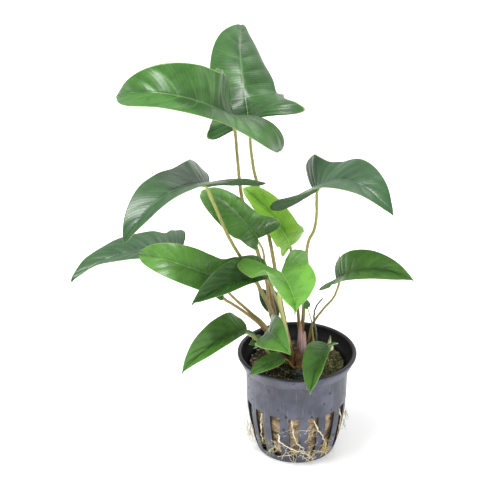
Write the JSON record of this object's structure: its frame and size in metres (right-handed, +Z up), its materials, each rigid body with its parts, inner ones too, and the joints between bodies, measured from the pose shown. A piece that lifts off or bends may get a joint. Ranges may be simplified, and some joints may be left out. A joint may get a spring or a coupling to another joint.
{
  "type": "potted aquarium plant",
  "caption": "Young anubias plant with arrow-shaped leaves on long stalks, rooted in rock wool in a small slotted black net pot.",
  "frame": {"origin": "centre of the net pot's flat bottom", "axes": "+Z up along the pot's axis; -Y towards the side that is seen from the front, with the lighter heart-shaped leaf; +X to the right of that view"},
  "size_m": [0.1536, 0.1474, 0.1969],
  "materials": {
    "pot_plastic": "satin",
    "rock_wool": "matte",
    "rhizome": "matte",
    "sheath": "matte",
    "leaf": "satin",
    "young_leaf": "satin",
    "stalk": "satin",
    "root": "matte",
    "dead_stem": "matte"
  },
  "bodies": {
    "root": {"blade_broad_left": "leaf", "blade_dark_front": "leaf", "blade_far_left": "leaf", "blade_heart_front": "young_leaf", "blade_high_back": "leaf", "blade_high_left": "leaf", "blade_inner_left": "leaf", "blade_inner_shaded": "leaf", "blade_low_left": "leaf", "blade_low_right": "leaf", "blade_middle_left": "leaf", "blade_middle_right": "leaf", "blade_pale_back": "young_leaf", "blade_rim_left": "leaf", "blade_rim_right": "young_leaf", "blade_small_front": "leaf", "blade_tiny_left": "young_leaf", "blade_tiny_right": "young_leaf", "dead_stalk": "dead_stem", "net_pot": "pot_plastic", "rhizome": "rhizome", "rock_wool": "rock_wool", "root_front": "root", "root_left": "root", "root_low": "root", "root_right": "root", "root_side": "root", "sheath_front": "sheath", "sheath_middle": "sheath", "sheath_right": "sheath", "stalk_broad_left": "stalk", "stalk_dark_front": "stalk", "stalk_far_left": "stalk", "stalk_heart_front": "stalk", "stalk_high_back": "stalk", "stalk_high_left": "stalk", "stalk_inner_left": "stalk", "stalk_inner_shaded": "stalk", "stalk_low_left": "stalk", "stalk_low_right": "stalk", "stalk_middle_left": "stalk", "stalk_middle_right": "stalk", "stalk_pale_back": "stalk", "stalk_rim_left": "stalk", "stalk_rim_right": "stalk", "stalk_small_front": "stalk", "stalk_tiny_left": "stalk", "stalk_tiny_right": "stalk", "wool_scrap": "rock_wool", "young_spike": "stalk"}
  },
  "joints": []
}
